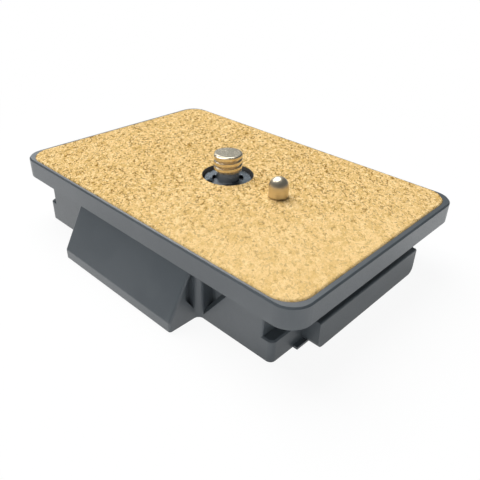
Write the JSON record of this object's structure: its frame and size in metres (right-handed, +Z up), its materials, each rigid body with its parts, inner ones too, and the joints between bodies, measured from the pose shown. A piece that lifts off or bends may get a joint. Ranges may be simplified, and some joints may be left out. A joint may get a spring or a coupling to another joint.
{
  "type": "tripod quick release plate",
  "caption": "Rectangular camera plate with a cork top, captive camera screw, sprung anti-twist pin, dovetail sides and stepped ends that lock into a tripod head.",
  "frame": {"origin": "on the face that the plate stands on, below the camera screw's axis", "axes": "+X along the plate's long side, towards the anti-twist pin; +Z up along the camera screw"},
  "size_m": [0.0826, 0.0646, 0.0207],
  "materials": {
    "body_plastic": "fine satin moulded grain",
    "cork": "ground cork granules",
    "screw_steel": "bright turned steel",
    "black_steel": "blackened spring steel",
    "washer_plastic": "smooth natural plastic",
    "ring_steel": "tumbled stamped steel",
    "spring_wire": "drawn wire",
    "zinc_steel": "zinc plated"
  },
  "bodies": {
    "plate": {"plate_body": "body_plastic", "cork_pad": "cork", "thrust_washer": "washer_plastic", "pin_spring": "spring_wire", "pin_retainer": "zinc_steel", "retainer_screws": "zinc_steel"},
    "camera_screw": {"camera_screw": "screw_steel", "retaining_clip": "black_steel"},
    "d_ring": {"d_ring": "ring_steel"},
    "video_pin": {"video_pin": "screw_steel"}
  },
  "joints": [
    {"name": "screw_turn", "type": "hinge", "parent": "plate", "child": "camera_screw", "pos_m": [0, 0, 0.0107], "axis": [0, 0, 1], "continuous": true},
    {"name": "d_ring_fold", "type": "hinge", "parent": "camera_screw", "child": "d_ring", "pos_m": [0, 0, 0.0033], "axis": [0, -1, 0], "range_deg": [0, 180]},
    {"name": "pin_press", "type": "slide", "parent": "plate", "child": "video_pin", "axis": [0, 0, -1], "range_m": [0, 0.0042], "stiffness_N_per_m": 650, "springref_m": -0.003, "deforming": ["pin_spring"]}
  ]
}
